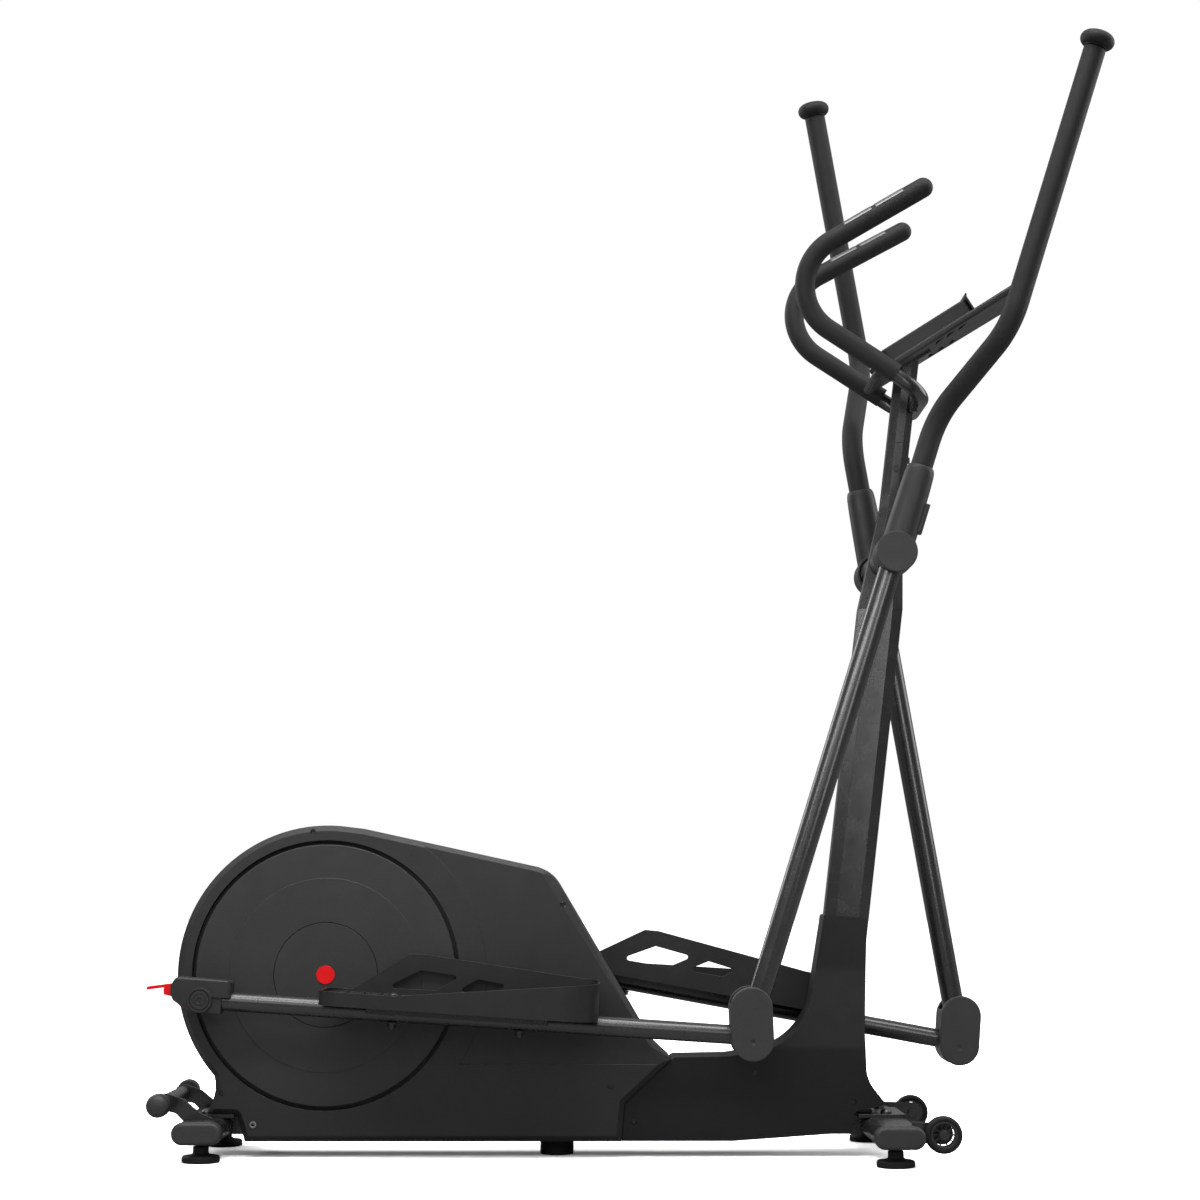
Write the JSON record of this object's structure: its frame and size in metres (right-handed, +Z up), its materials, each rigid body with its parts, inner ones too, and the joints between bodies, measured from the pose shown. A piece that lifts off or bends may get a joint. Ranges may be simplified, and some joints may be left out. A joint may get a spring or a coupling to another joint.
{
  "type": "elliptical trainer",
  "caption": "Rear-drive elliptical trainer with a cased flywheel, crank discs, swinging hand levers on long pedal arms, a fixed pulse handlebar and a sloping console.",
  "frame": {"origin": "on the floor under the middle of the bounding box", "axes": "+X forward towards the console, +Y to the user's left, +Z up"},
  "size_m": [1.5604, 0.6066, 1.8757],
  "materials": {
    "black_paint": "satin black powder coat",
    "black_shell": "fine-grained moulded plastic",
    "disc_plastic": "satin moulded plastic",
    "grey_cover": "fine-grained dark grey plastic",
    "cap_plastic": "grained plastic caps",
    "pedal_plastic": "moulded pedal plastic",
    "foam": "closed-cell foam grip",
    "foot_rubber": "rubber feet",
    "wheel_plastic": "dark grey wheel",
    "red_plastic": "glossy red plastic",
    "bolt_steel": "black-zinc screws",
    "drive_steel": "machined steel",
    "flywheel_iron": "turned cast iron",
    "pulley_plastic": "moulded pulley",
    "belt_rubber": "ribbed belt",
    "inlet_metal": "nickel-plated inlet ring",
    "plate_metal": "polished pulse plates",
    "screen_glass": "dark display window",
    "key_rubber": "soft keys"
  },
  "bodies": {
    "frame": {"base_beam": "black_paint", "mast": "black_paint", "console_post": "black_paint", "pivot_tube": "black_paint", "rear_casing": "black_shell", "front_shroud": "black_shell", "casing_screws": "bolt_steel", "frame_bolts": "bolt_steel", "power_inlet": "inlet_metal", "front_stabilizer": "black_paint", "rear_stabilizer": "black_paint", "stabilizer_caps": "cap_plastic", "centre_foot": "foot_rubber", "wheel_brackets": "black_paint", "wheel_axles": "bolt_steel", "rear_handle": "black_paint", "rear_handle_ends": "cap_plastic", "drive_supports": "drive_steel", "drive_belt": "belt_rubber", "fixed_handlebar": "black_paint", "handlebar_grips": "foam", "pulse_plates": "plate_metal", "console_housing": "black_shell", "console_screen": "screen_glass", "tablet_holder": "black_shell"},
    "crank": {"crank_shaft": "drive_steel", "drive_pulley": "pulley_plastic", "crank_discs": "disc_plastic", "hub_covers": "disc_plastic", "hub_badges": "red_plastic"},
    "flywheel": {"flywheel": "flywheel_iron"},
    "brake": {"brake_magnets": "flywheel_iron"},
    "right_lever": {"right_lever": "black_paint", "right_lever_grip": "foam", "right_lever_knob": "foam", "right_lever_boot": "grey_cover"},
    "right_pedal_arm": {"right_pedal_arm": "black_paint", "right_arm_housing": "black_shell", "right_pedal": "pedal_plastic", "right_joint_cover": "grey_cover"},
    "right_latch": {"right_latch": "red_plastic"},
    "left_lever": {"left_lever": "black_paint", "left_lever_grip": "foam", "left_lever_knob": "foam", "left_lever_boot": "grey_cover"},
    "left_pedal_arm": {"left_pedal_arm": "black_paint", "left_arm_housing": "black_shell", "left_pedal": "pedal_plastic", "left_joint_cover": "grey_cover"},
    "left_latch": {"left_latch": "red_plastic"},
    "right_wheel": {"right_wheel": "wheel_plastic"},
    "right_front_foot": {"right_front_foot": "foot_rubber"},
    "right_rear_foot": {"right_rear_foot": "foot_rubber"},
    "left_wheel": {"left_wheel": "wheel_plastic"},
    "left_front_foot": {"left_front_foot": "foot_rubber"},
    "left_rear_foot": {"left_rear_foot": "foot_rubber"},
    "console_key_1": {"console_key_1": "key_rubber"},
    "console_key_2": {"console_key_2": "key_rubber"},
    "console_key_3": {"console_key_3": "key_rubber"},
    "console_key_4": {"console_key_4": "key_rubber"}
  },
  "joints": [
    {"name": "crank_spin", "type": "hinge", "parent": "frame", "child": "crank", "pos_m": [-0.50168, 0, 0.2945], "axis": [0, 1, 0], "continuous": true},
    {"name": "flywheel_spin", "type": "hinge", "parent": "frame", "child": "flywheel", "pos_m": [-0.20068, 0, 0.248], "axis": [0, 1, 0], "continuous": true},
    {"name": "brake_swing", "type": "hinge", "parent": "frame", "child": "brake", "pos_m": [-0.16237, -0.025, 0.38162], "axis": [0, -1, 0], "range_deg": [0, 8]},
    {"name": "right_lever_swing", "type": "hinge", "parent": "frame", "child": "right_lever", "pos_m": [0.42832, -0.143, 0.9785], "axis": [0, -1, 0], "range_deg": [0, 27.15]},
    {"name": "right_pedal_hinge", "type": "hinge", "parent": "right_lever", "child": "right_pedal_arm", "pos_m": [0.1876, -0.143, 0.21977], "axis": [0, 1, 0], "range_deg": [0, 33.83]},
    {"name": "right_latch_turn", "type": "hinge", "parent": "right_pedal_arm", "child": "right_latch", "pos_m": [-0.7283, -0.143, 0.27062], "axis": [0, 1, 0], "range_deg": [0, 18], "stiffness_Nm_per_rad": 0.4, "springref_deg": -20.05},
    {"name": "left_lever_swing", "type": "hinge", "parent": "frame", "child": "left_lever", "pos_m": [0.42832, 0.143, 0.9785], "axis": [0, -1, 0], "range_deg": [-27.15, 0]},
    {"name": "left_pedal_hinge", "type": "hinge", "parent": "left_lever", "child": "left_pedal_arm", "pos_m": [0.56034, 0.143, 0.19352], "axis": [0, 1, 0], "range_deg": [-33.83, 0]},
    {"name": "left_latch_turn", "type": "hinge", "parent": "left_pedal_arm", "child": "left_latch", "pos_m": [-0.34371, 0.143, 0.34898], "axis": [0, 1, 0], "range_deg": [0, 18], "stiffness_Nm_per_rad": 0.4, "springref_deg": -20.05},
    {"name": "right_wheel_spin", "type": "hinge", "parent": "frame", "child": "right_wheel", "pos_m": [0.48532, -0.203, 0.0497], "axis": [0, 1, 0], "continuous": true},
    {"name": "right_front_foot_turn", "type": "hinge", "parent": "frame", "child": "right_front_foot", "pos_m": [0.40932, -0.206, 0.02], "axis": [0, 0, 1], "continuous": true},
    {"name": "right_rear_foot_turn", "type": "hinge", "parent": "frame", "child": "right_rear_foot", "pos_m": [-0.69168, -0.131, 0.02], "axis": [0, 0, 1], "continuous": true},
    {"name": "left_wheel_spin", "type": "hinge", "parent": "frame", "child": "left_wheel", "pos_m": [0.48532, 0.203, 0.0497], "axis": [0, 1, 0], "continuous": true},
    {"name": "left_front_foot_turn", "type": "hinge", "parent": "frame", "child": "left_front_foot", "pos_m": [0.40932, 0.206, 0.02], "axis": [0, 0, 1], "continuous": true},
    {"name": "left_rear_foot_turn", "type": "hinge", "parent": "frame", "child": "left_rear_foot", "pos_m": [-0.69168, 0.131, 0.02], "axis": [0, 0, 1], "continuous": true},
    {"name": "console_key_1_press", "type": "slide", "parent": "frame", "child": "console_key_1", "axis": [0.5299, 0, -0.848], "range_m": [0, 0.0012], "stiffness_N_per_m": 400, "springref_m": -0.0006},
    {"name": "console_key_2_press", "type": "slide", "parent": "frame", "child": "console_key_2", "axis": [0.5299, 0, -0.848], "range_m": [0, 0.0012], "stiffness_N_per_m": 400, "springref_m": -0.0006},
    {"name": "console_key_3_press", "type": "slide", "parent": "frame", "child": "console_key_3", "axis": [0.5299, 0, -0.848], "range_m": [0, 0.0012], "stiffness_N_per_m": 400, "springref_m": -0.0006},
    {"name": "console_key_4_press", "type": "slide", "parent": "frame", "child": "console_key_4", "axis": [0.5299, 0, -0.848], "range_m": [0, 0.0012], "stiffness_N_per_m": 400, "springref_m": -0.0006}
  ],
  "couplings": [
    {"joint": "flywheel_spin", "follows": "crank_spin", "ratio": 6.5},
    {"joint": "left_lever_swing", "follows": "right_lever_swing", "ratio": -1},
    {"joint": "right_pedal_hinge", "follows": "right_lever_swing", "ratio": 1.2423},
    {"joint": "left_pedal_hinge", "follows": "right_lever_swing", "ratio": -1.2423}
  ]
}
